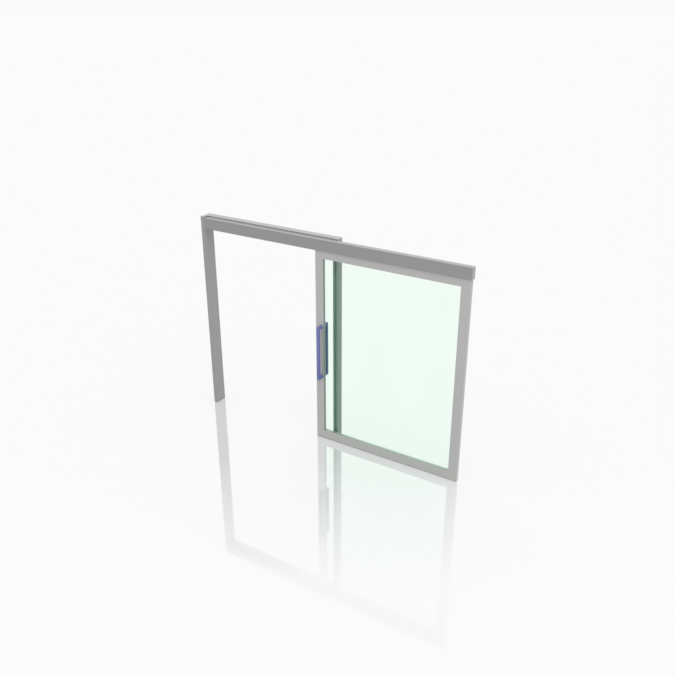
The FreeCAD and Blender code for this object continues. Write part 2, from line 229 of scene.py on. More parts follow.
@dataclass(frozen=True)
class DrawnAluminium:
    """Aluminium profile with the fine lines of its drawing, matt anodised or bare."""

    name: str
    colour: Colour
    grain: Grain
    roughness: float = 0.42
    metallic: float = 0.45
    line_scale: float = 1500.0
    line_depth: float = 0.02 * MM
    cloud_scale: Colour = (2.2, 2.2, 1.1)
    mark_scale: float = 38.0
    dust: Colour = (0.36, 0.35, 0.33)
    dust_share: float = 0.3
    dust_height: float = 0.22

    def material(self) -> Material:
        """Builds the finish: drawing lines, faint clouding, and dust towards the floor.

        Returns:
            The material.
        """
        material, sheet, shader = begin(self.name)
        lines = sheet.noise(tuple(self.line_scale * way for way in self.grain.value), detail=2.0)
        cloud = sheet.noise(self.cloud_scale, detail=3.0)
        marks = sheet.noise(self.mark_scale, detail=4.0, roughness=0.7)
        colour = sheet.mottle(lines, self.colour, dark=0.965, light=1.035)
        colour = sheet.blend(sheet.spread(cloud, 0.0, 0.35), colour, toned(self.colour, 0.93))
        dust = sheet.spread(sheet.height(), self.dust_share, 0.0, 0.0, self.dust_height)
        drawn = sheet.spread(lines, self.roughness - 0.04, self.roughness + 0.05)
        sheet.fill(shader, Base_Color=sheet.blend(dust, colour, self.dust),
                   Roughness=sheet.math("ADD", drawn, sheet.spread(marks, -0.02, 0.05)),
                   Normal=sheet.bump(lines, self.line_depth, strength=0.5),
                   Metallic=self.metallic)
        return material


@dataclass(frozen=True)
class ZincPlate:
    """Zinc plated steel, with the mottled bloom of its passivation."""

    name: str = "zinc_plate"
    colour: Colour = (0.42, 0.43, 0.44)
    yellow: Colour = (0.50, 0.47, 0.36)
    bloom_scale: float = 90.0
    grit_scale: float = 900.0
    grit_depth: float = 0.03 * MM

    def material(self) -> Material:
        """Builds the finish.

        Returns:
            The material.
        """
        material, sheet, shader = begin(self.name)
        bloom = sheet.noise(self.bloom_scale, detail=5.0, roughness=0.6)
        grit = sheet.noise(self.grit_scale, detail=2.0)
        colour = sheet.mottle(bloom, self.colour, dark=0.82, light=1.15)
        colour = sheet.blend(sheet.spread(bloom, 0.0, 0.5, 0.62, 0.8), colour, self.yellow)
        sheet.fill(shader, Base_Color=colour, Roughness=sheet.spread(bloom, 0.26, 0.46),
                   Normal=sheet.bump(grit, self.grit_depth, strength=0.4), Metallic=0.9)
        return material


@dataclass(frozen=True)
class MouldedRubber:
    """Rubber with a dusty bloom, black unless told otherwise."""

    name: str = "moulded_rubber"
    colour: Colour = (0.022, 0.023, 0.024)
    bloom: Colour = (0.075, 0.075, 0.072)
    bloom_scale: float = 16.0
    skin_scale: float = 1800.0
    skin_depth: float = 0.05 * MM

    def material(self) -> Material:
        """Builds the finish.

        Returns:
            The material.
        """
        material, sheet, shader = begin(self.name)
        bloom = sheet.noise(self.bloom_scale, detail=6.0, roughness=0.65)
        skin = sheet.noise(self.skin_scale, detail=2.0)
        colour = sheet.blend(sheet.spread(bloom, 0.0, 0.6, 0.42, 0.75), self.colour, self.bloom)
        sheet.fill(shader, Base_Color=colour, Roughness=sheet.spread(bloom, 0.58, 0.8),
                   Normal=sheet.bump(skin, self.skin_depth, strength=0.5))
        return material


@dataclass(frozen=True)
class MouldedNylon:
    """Dark nylon with a fine moulded grain."""

    name: str = "moulded_nylon"
    colour: Colour = (0.045, 0.046, 0.05)
    grain_scale: float = 1400.0
    grain_depth: float = 0.04 * MM
    scuff_scale: Colour = (55.0, 55.0, 140.0)
    scuff_tone: float = 2.6

    def material(self) -> Material:
        """Builds the finish.

        Returns:
            The material.
        """
        material, sheet, shader = begin(self.name)
        grain = sheet.noise(self.grain_scale, detail=3.0)
        scuffs = sheet.noise(self.scuff_scale, detail=5.0, roughness=0.7)
        colour = sheet.blend(sheet.spread(scuffs, 0.0, 0.5, 0.55, 0.8), self.colour,
                             toned(self.colour, self.scuff_tone))
        sheet.fill(shader, Base_Color=colour, Roughness=sheet.spread(grain, 0.42, 0.56),
                   Normal=sheet.bump(grain, self.grain_depth, strength=0.6))
        return material


@dataclass(frozen=True)
class PileBrush:
    """Weather pile: short upright bristles, dark unless told otherwise."""

    name: str = "pile_brush"
    colour: Colour = (0.15, 0.155, 0.15)
    hair_scale: Colour = (2600.0, 240.0, 2600.0)
    hair_depth: float = 0.4 * MM
    tuft_scale: Colour = (260.0, 60.0, 260.0)

    def material(self) -> Material:
        """Builds the finish.

        Returns:
            The material.
        """
        material, sheet, shader = begin(self.name)
        hairs = sheet.noise(self.hair_scale, detail=3.0, roughness=0.7)
        tufts = sheet.noise(self.tuft_scale, detail=3.0)
        colour = sheet.mottle(hairs, self.colour, dark=0.45, light=1.7)
        colour = sheet.blend(sheet.spread(tufts, 0.0, 0.4), colour, toned(self.colour, 0.6))
        sheet.fill(shader, Base_Color=colour, Roughness=0.9, Sheen_Weight=0.3,
                   Normal=sheet.bump(hairs, self.hair_depth, strength=0.8))
        return material


@dataclass(frozen=True)
class SatinCoat:
    """The pull handles' blue grey satin coat, rubbed a little brighter where hands hold it."""

    name: str = "satin_coat"
    colour: Colour = (0.165, 0.185, 0.40)
    grip_middle: float = 1.018
    grip_reach: float = 0.24
    line_scale: Colour = (1300.0, 1300.0, 6.0)
    line_depth: float = 0.015 * MM
    cloud_scale: Colour = (24.0, 24.0, 6.0)
    worn_tone: float = 1.3

    def material(self) -> Material:
        """Builds the finish.

        Returns:
            The material.
        """
        material, sheet, shader = begin(self.name)
        lines = sheet.noise(self.line_scale, detail=3.0)
        cloud = sheet.spread(sheet.noise(self.cloud_scale, detail=4.0), 0.0, 0.3)
        away = sheet.math("ABSOLUTE", sheet.math("SUBTRACT", sheet.height(), self.grip_middle))
        held = sheet.spread(away, 1.0, 0.0, 0.0, self.grip_reach)
        colour = sheet.mottle(lines, self.colour, dark=0.93, light=1.08)
        colour = sheet.blend(cloud, colour, toned(self.colour, 0.85))
        worn = sheet.math("MULTIPLY", held, cloud)
        sheet.fill(shader, Base_Color=sheet.blend(worn, colour, toned(self.colour, self.worn_tone)),
                   Roughness=sheet.spread(worn, 0.50, 0.38, 0.0, 0.3),
                   Normal=sheet.bump(lines, self.line_depth, strength=0.5),
                   Metallic=0.2, Specular_IOR_Level=0.25)
        return material


@dataclass(frozen=True)
class TintedGlass:
    """Slightly green float glass that lets the lamps through to what is behind it."""

    name: str = "float_glass"
    tint: Colour = (0.905, 1.0, 0.945)
    shade: Colour = (0.58, 0.90, 0.73)
    wash_scale: Colour = (3.0, 3.0, 0.9)
    bending: float = 1.18

    def material(self) -> Material:
        """Builds the glass, with faint rain marks on its face.

        Returns:
            The material.
        """
        material, sheet, shader = begin(self.name)
        wash = sheet.noise(self.wash_scale, detail=4.0)
        sheet.fill(shader, Base_Color=sheet.mottle(wash, self.tint, dark=1.0, light=0.985),
                   Roughness=sheet.spread(wash, 0.0, 0.012), Transmission_Weight=1.0,
                   IOR=self.bending)
        through = sheet.add("BsdfTransparent", Color=(*self.shade, 1))
        path = sheet.add("LightPath")
        soft = sheet.math("MAXIMUM", path.outputs["Is Shadow Ray"], path.outputs["Is Diffuse Ray"])
        sheet.show(sheet.layer(soft, shader.outputs[0], through.outputs[0]))
        return material


class Finishes:
    """Every finish on the door, each made into a material once."""

    FIXED = (0.325, 0.328, 0.335)
    LEAF = (0.462, 0.460, 0.456)
    DUST = (0.57, 0.56, 0.53)
    MILL = (0.30, 0.305, 0.31)
    GASKET = (0.125, 0.14, 0.13)
    GASKET_BLOOM = (0.17, 0.18, 0.17)
    SWEEP = (0.30, 0.30, 0.295)

    def __init__(self) -> None:
        """Makes the materials."""
        self.post = DrawnAluminium("anodised_post", self.FIXED, Grain.UPRIGHT).material()
        # The right jamb's finish is the fixed frame's colour made 12% darker as painted shade, the
        # shadow of the leaf that stands in front of it.
        self.rear_post_painted_shade = DrawnAluminium("anodised_rear_post", toned(self.FIXED, 0.88),
                                        Grain.UPRIGHT).material()
        self.header = DrawnAluminium("anodised_header", toned(self.FIXED, 0.9),
                                     Grain.ALONG).material()
        self.head = DrawnAluminium("anodised_head", toned(self.FIXED, 1.08),
                                   Grain.ALONG).material()
        self.fitting = DrawnAluminium("anodised_cap", toned(self.FIXED, 1.17), Grain.NONE,
                                      line_scale=260.0).material()
        self.stile = DrawnAluminium("anodised_stile", self.LEAF, Grain.UPRIGHT,
                                    dust=self.DUST).material()
        self.rail = DrawnAluminium("anodised_rail", self.LEAF, Grain.ALONG,
                                   dust=self.DUST).material()
        self.mill = DrawnAluminium("mill_track", self.MILL, Grain.ALONG, roughness=0.4,
                                   metallic=0.35, line_scale=900.0).material()
        self.zinc = ZincPlate().material()
        self.rubber = MouldedRubber().material()
        self.gasket = MouldedRubber("grey_gasket", self.GASKET, self.GASKET_BLOOM).material()
        self.nylon = MouldedNylon().material()
        self.pile = PileBrush().material()
        self.sweep = PileBrush("sweep_brush", self.SWEEP).material()
        self.handle = SatinCoat().material()
        self.glass = TintedGlass().material()


class Bench:
    """The modelling steps that the pieces share."""

    @staticmethod
    def clear() -> None:
        """Leaves edit mode and selects nothing."""
        if bpy.context.mode != "OBJECT":
            bpy.ops.object.mode_set(mode="OBJECT")
        bpy.ops.object.select_all(action="DESELECT")

    @staticmethod
    def hold(piece: Piece) -> None:
        """Selects one piece alone and makes it active.

        Args:
            piece: The piece.
        """
        Bench.clear()
        piece.select_set(True)
        bpy.context.view_layer.objects.active = piece

    @staticmethod
    def claim(name: str) -> Piece:
        """Names the piece just added and puts its place, turn and size into its mesh.

        Args:
            name: The piece's name.

        Returns:
            The piece.
        """
        piece = bpy.context.active_object
        bpy.ops.object.transform_apply(location=True, rotation=True, scale=True)
        piece.name = name
        piece.data.name = name
        return piece

    @staticmethod
    def block(name: str, low: Vector, high: Vector) -> Piece:
        """A block between two corners, as a start.

        Args:
            name: The piece's name.
            low: Its lowest corner.
            high: Its highest corner.

        Returns:
            The block.
        """
        Bench.clear()
        bpy.ops.mesh.primitive_cube_add(size=1, location=(low + high) / 2, scale=high - low)
        return Bench.claim(name)

    @staticmethod
    def rod(name: str, start: Vector, end: Vector, radius: float, sides: int = 32) -> Piece:
        """A rod between two points, as a start.

        Args:
            name: The piece's name.
            start: The middle of one end.
            end: The middle of the other end.
            radius: The rod's radius, to its corners.
            sides: How many sides it has.

        Returns:
            The rod.
        """
        Bench.clear()
        line = end - start
        bpy.ops.mesh.primitive_cylinder_add(
            vertices=sides, radius=radius, depth=line.length, location=(start + end) / 2,
            rotation=line.to_track_quat("Z", "Y").to_euler())
        return Bench.claim(name)

    @staticmethod
    @contextmanager
    def editing(piece: Piece, kind: str = "FACE") -> Iterator[None]:
        """Edit mode on one piece, with nothing selected.

        Args:
            piece: The piece to edit.
            kind: What is selected: VERT, EDGE or FACE.

        Yields:
            Nothing, while the piece is in edit mode.
        """
        Bench.hold(piece)
        bpy.ops.object.mode_set(mode="EDIT")
        bpy.ops.mesh.select_mode(type=kind)
        bpy.ops.mesh.select_all(action="DESELECT")
        yield
        bpy.ops.object.mode_set(mode="OBJECT")

    @staticmethod
    def pick_faces(piece: Piece, test: Test) -> None:
        """Selects some of a piece's faces, and no others.

        Args:
            piece: The piece, in edit mode.
            test: What a face's middle and normal have to pass.
        """
        bpy.ops.mesh.select_mode(type="FACE")
        mesh = bmesh.from_edit_mesh(piece.data)
        for face in mesh.faces:
            face.select_set(False)
        for face in mesh.faces:
            if test(face.calc_center_median(), face.normal):
                face.select_set(True)
        mesh.select_flush_mode()
        bmesh.update_edit_mesh(piece.data)

    @staticmethod
    def pick_edges(piece: Piece, test: Test) -> None:
        """Selects some of a piece's edges, and no others.

        Args:
            piece: The piece, in edit mode.
            test: What an edge's middle and direction have to pass.
        """
        bpy.ops.mesh.select_mode(type="EDGE")
        mesh = bmesh.from_edit_mesh(piece.data)
        for edge in mesh.edges:
            edge.select_set(False)
        for edge in mesh.edges:
            first, last = (corner.co for corner in edge.verts)
            if test((first + last) / 2, (last - first).normalized()):
                edge.select_set(True)
        bmesh.update_edit_mesh(piece.data)

    @staticmethod
    def extrude(shift: Vector) -> None:
        """Extrudes what is selected."""
        bpy.ops.mesh.extrude_region_move(TRANSFORM_OT_translate={"value": tuple(shift)})

    @staticmethod
    def soften(piece: Piece, width: float, segments: int = 2, angle: float = 30.0) -> Piece:
        """Rounds a piece's sharp edges and shades it smooth between them.

        Args:
            piece: The piece.
            width: The rounding's width.
            segments: How many steps the rounding has.
            angle: The angle in degrees past which an edge counts as sharp.

        Returns:
            The piece.
        """
        Bench.hold(piece)
        bevel = piece.modifiers.new("soft_edges", "BEVEL")
        bevel.width = width
        bevel.segments = segments
        bevel.limit_method = "ANGLE"
        bevel.angle_limit = math.radians(angle)
        bpy.ops.object.modifier_apply(modifier=bevel.name)
        bpy.ops.object.shade_smooth_by_angle(angle=math.radians(angle + SMOOTH_MARGIN))
        return piece

    @staticmethod
    def tidy(piece: Piece) -> None:
        """Merges doubled points and turns every face outwards.

        Args:
            piece: The piece, out of edit mode.
        """
        with Bench.editing(piece):
            bpy.ops.mesh.select_all(action="SELECT")
            bpy.ops.mesh.remove_doubles(threshold=MERGE)
            bpy.ops.mesh.normals_make_consistent(inside=False)

    @staticmethod
    def copy(piece: Piece, name: str, move: Matrix) -> Piece:
        """Copies a piece with its mesh.

        Args:
            piece: The piece to copy.
            name: The copy's name.
            move: The matrix that goes into the copy's mesh.

        Returns:
            The copy.
        """
        twin = piece.copy()
        twin.data = piece.data.copy()
        twin.data.transform(move)
        twin.name = name
        twin.data.name = name
        bpy.context.scene.collection.objects.link(twin)
        return twin

    @staticmethod
    def drop(piece: Piece) -> None:
        """Removes a pattern piece once its copies are made."""
        bpy.data.objects.remove(piece)


def towards(way: Vector, where: Callable[[Vector], bool] = lambda middle: True) -> Test:
    """A test for faces that look one way, and whose middle passes a second test."""
    return lambda middle, normal: normal.dot(way) > ALIGNED and where(middle)


def underside(node: str) -> Vector:
    """The middle of a node's underside."""
    low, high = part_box(node)
    return Vector(((low.x + high.x) / 2, (low.y + high.y) / 2, low.z))


def facing(spot: Vector, outward: Vector) -> Matrix:
    """The matrix that takes a piece made at the origin, facing up, to a spot on a face."""
    return Matrix.Translation(spot) @ outward.to_track_quat("Z", "Y").to_matrix().to_4x4()


@dataclass(frozen=True)
class SocketScrew:
    """A low round head with a hexagon socket, drawn facing up with its seat at the origin."""

    radius: float = 4.5 * MM
    height: float = 2.2 * MM
    socket: float = 2.0 * MM
    depth: float = 1.5 * MM
    sides: int = 24
    top_share: float = 0.9
    rim_share: float = 0.22
    ring_share: float = 0.85

    def build(self, name: str) -> Piece:
        """Models the head.

        Args:
            name: The piece's name.

        Returns:
            The screw head.
        """
        near_top = self.height * self.top_share
        Bench.clear()
        bpy.ops.mesh.primitive_circle_add(vertices=self.sides, radius=self.radius)
        head = Bench.claim(name)
        with Bench.editing(head, "EDGE"):
            bpy.ops.mesh.select_all(action="SELECT")
            bpy.ops.mesh.edge_face_add()
            bpy.ops.mesh.select_all(action="DESELECT")
            Bench.pick_faces(head, lambda middle, normal: True)
            Bench.extrude(Vector((0, 0, self.height)))
            Bench.pick_faces(head, lambda middle, normal: middle.z > near_top)
            bpy.ops.mesh.inset(thickness=self.radius * self.rim_share)
            bpy.ops.mesh.delete(type="ONLY_FACE")
            bpy.ops.mesh.primitive_circle_add(vertices=6, radius=self.socket,
                                              location=(0, 0, self.height))
            ring = self.radius * self.ring_share
            Bench.pick_edges(head, lambda middle, line: middle.z > near_top
                             and middle.xy.length < ring)
            bpy.ops.mesh.bridge_edge_loops()
            Bench.pick_edges(head, lambda middle, line: middle.z > near_top
                             and middle.xy.length < self.socket)
            Bench.extrude(Vector((0, 0, -self.depth)))
            bpy.ops.mesh.edge_face_add()
        Bench.tidy(head)
        return Bench.soften(head, width=0.3 * MM)


@dataclass(frozen=True)
class CoverPlug:
    """A flat plastic plug over a fixing hole, facing up with its seat at the origin."""

    radius: float = 6.5 * MM
    height: float = 0.9 * MM
    dish: float = 0.3 * MM
    sides: int = 28
    rim_share: float = 0.25
    dish_share: float = 0.1

    def build(self, name: str) -> Piece:
        """Models the plug.

        Args:
            name: The piece's name.

        Returns:
            The plug.
        """
        plug = Bench.rod(name, Vector(), UP * self.height, self.radius, self.sides)
        with Bench.editing(plug):
            Bench.pick_faces(plug, towards(UP))
            bpy.ops.mesh.inset(thickness=self.radius * self.rim_share)
            bpy.ops.mesh.inset(thickness=self.radius * self.dish_share, depth=-self.dish)
        return Bench.soften(plug, width=0.15 * MM)


@dataclass
class SubAssembly:
    """A group of pieces of the door that ride on one CAD body."""

    finishes: Finishes
    body: str = "frame"

    def dress(self, node: str, finish: Material, edge: float = 0.0) -> None:
        """Gives a CAD node its finish, and rounds its edges with live modifiers.

        Args:
            node: The CAD node's name.
            finish: The material that it gets.
            edge: The rounding's width, or 0 for none.
        """
        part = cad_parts[node]
        part.data.materials.clear()
        part.data.materials.append(finish)
        if edge:
            weld = part.modifiers.new("weld", "WELD")
            weld.merge_threshold = MERGE
            flat = part.modifiers.new("flat_faces", "DECIMATE")
            flat.decimate_type = "DISSOLVE"
            flat.angle_limit = FLAT_ANGLE
            bevel = part.modifiers.new("soft_edges", "BEVEL")
            bevel.width = edge
            bevel.segments = 2
            bevel.limit_method = "ANGLE"
            bevel.angle_limit = SHARP_ANGLE
            bevel.harden_normals = True
        LOG.info("dressed %s with %s", node, finish.name)

    def add(self, piece: Piece, finish: Material, slot: Slot, *nodes: str) -> None:
        """Finishes a new piece and puts it on the body.

        Args:
            piece: The piece, with its place in its mesh.
            finish: Its material.
            slot: The record's slot that the finish comes from; not used.
            nodes: CAD nodes that the piece stands for.
        """
        piece.data.materials.clear()
        piece.data.materials.append(finish)
        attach(piece, self.body)
        if nodes:
            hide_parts(*nodes)
        LOG.info("made %s with %s", piece.name, finish.name)

    def plain_block(self, name: str, low: Vector, high: Vector, edge: float, finish: Material,
                    slot: Slot) -> None:
        """Adds a plain block, strip or plate that stands for no CAD node.

        Args:
            name: The piece's name.
            low: Its lowest corner.
            high: Its highest corner.
            edge: The rounding of its edges.
            finish: Its material.
            slot: The record's slot that the finish comes from.
        """
        self.add(Bench.soften(Bench.block(name, low, high), edge), finish, slot)

    def repeat(self, pattern: Piece, spots: dict[str, Matrix], finish: Material,
               slot: Slot) -> None:
        """Copies a pattern piece to each spot, then removes the pattern.

        Args:
            pattern: The piece, modelled at the origin.
            spots: The copies' names, each with the matrix that places it.
            finish: Their material.
            slot: The record's slot that the finish comes from.
        """
        for name, move in spots.items():
            self.add(Bench.copy(pattern, name, move), finish, slot)
        Bench.drop(pattern)


@dataclass
class FixedFrame(SubAssembly):
    """The two jambs and the head behind the track, with their caps, plates, plugs and piles."""

    cap_rim: float = 5 * MM
    cap_dish: float = 0.8 * MM
    # The lip and skirts on the right jamb's cap lay the lighter cap finish over the top of the
    # jamb's front and outer side. This is painted light where the jamb rises above the leaf's
    # painted shade.
    painted_light_lip: float = 1.0 * MM
    painted_light_front_skirt: float = 11 * MM
    painted_light_side_skirt: float = 27 * MM
    profile_edge: float = 0.8 * MM
    plate_edge: float = 0.5 * MM
    plug_heights: tuple[float, ...] = (0.25, 0.85, 1.45, 2.0)
    plug_line: float = 30 * MM
    pile_width: float = 7 * MM
    pile_reach: float = 4 * MM
    pile_carrier: float = 1 * MM
    pile_ribs: int = 3
    pile_taper: float = 0.2
    foot_clear: float = 30 * MM
    head_clear: float = 20 * MM
    end_clear: float = 1 * MM
    lower_clear: float = 2 * MM

    def top_cap(self, node: str, lip: float = 0.0) -> None:
        """A moulded cap with a raised rim on a jamb's top.

        Args:
            node: The CAD node that the cap stands for.
            lip: The thickness of the lip over the jamb's front and outer side, or 0 for none; its
                lighter finish there is painted light.
        """
        low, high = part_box(node)
        cap = Bench.block(node + "_moulded", low - BACK * lip, high + RIGHT * lip)
        with Bench.editing(cap):
            Bench.pick_faces(cap, towards(UP))
            bpy.ops.mesh.inset(thickness=self.cap_rim)
            bpy.ops.mesh.inset(thickness=self.cap_dish, depth=-self.cap_dish)
            # The skirts put the cap's lighter finish on the top of the jamb's front and outer side
            # as painted light.
            if lip:
                for corner, across in ((low, BACK), (high, RIGHT)):
                    bpy.ops.mesh.select_all(action="SELECT")
                    bpy.ops.mesh.bisect(plane_co=corner, plane_no=across)
                Bench.pick_faces(cap, towards(-UP, lambda middle: middle.y < low.y))
                Bench.extrude(-UP * self.painted_light_front_skirt)
                Bench.pick_faces(cap, towards(-UP, lambda middle: middle.y > low.y
                                              and middle.x > high.x))
                Bench.extrude(-UP * self.painted_light_side_skirt)
        Bench.soften(cap, width=0.4 * MM)
        self.add(cap, self.finishes.fitting, Slot.FIXED, node)

    def pile_strip(self, name: str, low: Vector, high: Vector) -> None:
        """A weather pile in its carrier, on a face that looks towards the leaf.

        Args:
            name: The piece's name.
            low: The strip's lowest corner, at the tips of the pile.
            high: The strip's highest corner, on the face that holds it.
        """
        carrier = high.y - self.pile_carrier
        strip = Bench.block(name, Vector((low.x, carrier, low.z)), high)
        upright = high.z - low.z > high.x - low.x
        across = RIGHT if upright else UP
        begin, width = low.dot(across), (high - low).dot(across)
        share = width / (2 * self.pile_ribs + 1)
        with Bench.editing(strip):
            for cut in range(1, 2 * self.pile_ribs + 1):
                bpy.ops.mesh.select_all(action="SELECT")
                bpy.ops.mesh.bisect(plane_co=across * (begin + cut * share), plane_no=across)
            Bench.pick_faces(strip, towards(-BACK, lambda middle: int(
                (middle.dot(across) - begin) / share) % 2 == 1))
            Bench.extrude(BACK * (low.y - carrier))
            bpy.ops.mesh.inset(thickness=share * self.pile_taper)
        Bench.soften(strip, width=0.12 * MM, segments=1)
        self.add(strip, self.finishes.pile, Slot.RUBBER)

    def build(self) -> None:
        """Builds and dresses the fixed frame."""
        # The right jamb gets the darker finish, painted shade of the leaf in front of it. Its cap's
        # lip is painted light over the top of the jamb.
        for side, finish in (("left", self.finishes.post), ("right", self.finishes.rear_post_painted_shade)):
            self.dress(side + "_jamb", finish, self.profile_edge)
            self.dress(side + "_jamb_foot_plate", self.finishes.mill, self.plate_edge)
            self.top_cap(side + "_jamb_top_cap", self.painted_light_lip if side == "right" else 0.0)
        self.dress("rear_head", self.finishes.head, self.profile_edge)
        jamb_low, jamb_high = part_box("right_jamb")
        head_low, head_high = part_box("rear_head")
        face = jamb_low.y
        middle = (jamb_low.x + jamb_high.x) / 2
        half = self.pile_width / 2
        tips = face - self.pile_reach
        self.pile_strip("jamb_pile_strip", Vector((middle - half, tips, self.foot_clear)),
                        Vector((middle + half, face, head_low.z - self.head_clear)))
        rise = head_low.z + self.lower_clear
        self.pile_strip("head_pile_strip", Vector((head_low.x + self.end_clear, tips, rise)),
                        Vector((head_high.x - self.end_clear, face, rise + self.pile_width)))
        left_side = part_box("left_jamb")[1].x
        plugs = {}
        for number, height in enumerate(self.plug_heights, 1):
            for side, place, way in (("left", left_side, RIGHT), ("right", jamb_low.x, -RIGHT)):
                plugs[f"{side}_jamb_plug_{number}"] = facing(
                    Vector((place, self.plug_line, height)), way)
        self.repeat(CoverPlug().build("jamb_plug_pattern"), plugs, self.finishes.post,
                    Slot.FIXED)


@dataclass
class CoveredTrack(SubAssembly):
    """The track, its cover and end cap, the rail and the end stops."""

    cap_skin: float = 2.3 * MM
    cap_rim: float = 2.0 * MM
    cap_dish: float = 0.4 * MM
    screw_rises: tuple[float, float] = (30 * MM, 95 * MM)
    back_plate: float = -14 * MM
    fixing_count: int = 5
    fixing_height: float = 2190 * MM
    stop_screw_shares: tuple[float, float] = (0.28, 0.72)

    def end_cap(self) -> None:
        """The flat cap on the track's open end, with its two screws."""
        node = "header_end_cap"
        low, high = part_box(node)
        outer = low.x + self.cap_skin
        cap = Bench.block("end_cap_plate", low, Vector((outer, high.y, high.z)))
        with Bench.editing(cap):
            Bench.pick_faces(cap, towards(RIGHT))
            bpy.ops.mesh.inset(thickness=self.cap_rim)
            bpy.ops.mesh.inset(thickness=self.cap_dish, depth=-self.cap_dish)
        Bench.soften(cap, width=0.5 * MM)
        self.add(cap, self.finishes.fitting, Slot.FIXED, node)
        seat = outer - self.cap_dish
        screw = SocketScrew(radius=3.5 * MM, height=high.x - seat, socket=1.5 * MM,
                            depth=0.8 * MM)
        middle = (low.y + high.y) / 2
        spots = {f"end_cap_screw_{number}": facing(Vector((seat, middle, low.z + rise)), RIGHT)
                 for number, rise in enumerate(self.screw_rises, 1)}
        self.repeat(screw.build("end_cap_screw_pattern"), spots, self.finishes.zinc, Slot.ZINC)

    def fixings(self) -> None:
        """The low heads that hold the track's back plate to the head behind it."""
        low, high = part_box("rear_head")
        gap = (high.x - low.x) / self.fixing_count
        spots = {f"track_fixing_{number + 1}": facing(
            Vector((low.x + gap * (number + 0.5), self.back_plate, self.fixing_height)), -BACK)
            for number in range(self.fixing_count)}
        screw = SocketScrew(radius=4 * MM, height=1.8 * MM, socket=1.8 * MM, depth=1.2 * MM)
        self.repeat(screw.build("track_fixing_pattern"), spots, self.finishes.zinc, Slot.ZINC)

    def stop_screws(self) -> None:
        """Two clamping screws in each end stop's front."""
        spots = {}
        for end in ("closed", "open"):
            low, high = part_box(end + "_stop_block")
            for number, share in enumerate(self.stop_screw_shares, 1):
                spots[f"{end}_stop_screw_{number}"] = facing(
                    Vector((low.x + (high.x - low.x) * share, low.y, (low.z + high.z) / 2)), -BACK)
        self.repeat(SocketScrew(radius=3.6 * MM).build("stop_screw_pattern"), spots,
                    self.finishes.zinc, Slot.ZINC)

    def build(self) -> None:
        """Builds and dresses the track."""
        self.dress("track_header", self.finishes.mill, edge=0.4 * MM)
        self.dress("track_cover", self.finishes.header, edge=0.8 * MM)
        self.dress("roller_rail", self.finishes.zinc, edge=1.5 * MM)
        for end in ("closed", "open"):
            self.dress(end + "_stop_block", self.finishes.mill, edge=1.0 * MM)
            self.dress(end + "_stop_buffer", self.finishes.rubber, edge=2.0 * MM)
        self.end_cap()
        self.fixings()
        self.stop_screws()


@dataclass
class FloorGuide(SubAssembly):
    """The moulded block on the floor that the leaf's foot runs over."""

    upright_depth: float = 28 * MM
    plate: float = 3 * MM
    lead: float = 5 * MM
    screw_inset: float = 12 * MM

    def build(self) -> None:
        """Models the guide and its two screws."""
        low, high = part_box("floor_guide")
        guide = Bench.block("floor_guide_moulded", low, Vector((high.x, high.y, self.plate)))
        edge = low.y + self.upright_depth
        with Bench.editing(guide):
            bpy.ops.mesh.select_all(action="SELECT")
            bpy.ops.mesh.bisect(plane_co=(0, edge, 0), plane_no=BACK)
            Bench.pick_faces(guide, towards(UP, lambda middle: middle.y < edge))
            Bench.extrude(UP * (high.z - self.plate))
            Bench.pick_edges(guide, lambda middle, line: middle.z > high.z - MM
                             and abs(line.y) > ALIGNED)
            bpy.ops.mesh.bevel(offset=self.lead, segments=4, affect="EDGES")
        Bench.soften(guide, width=0.7 * MM)
        self.add(guide, self.finishes.nylon, Slot.NYLON, "floor_guide")
        strip = (edge + high.y) / 2
        places = (low.x + self.screw_inset, high.x - self.screw_inset)
        spots = {f"floor_guide_screw_{number}": facing(Vector((x, strip, self.plate)), UP)
                 for number, x in enumerate(places, 1)}
        screw = SocketScrew(radius=3.6 * MM, height=1.6 * MM, socket=1.6 * MM, depth=1.1 * MM)
        self.repeat(screw.build("floor_guide_screw_pattern"), spots, self.finishes.zinc,
                    Slot.ZINC)


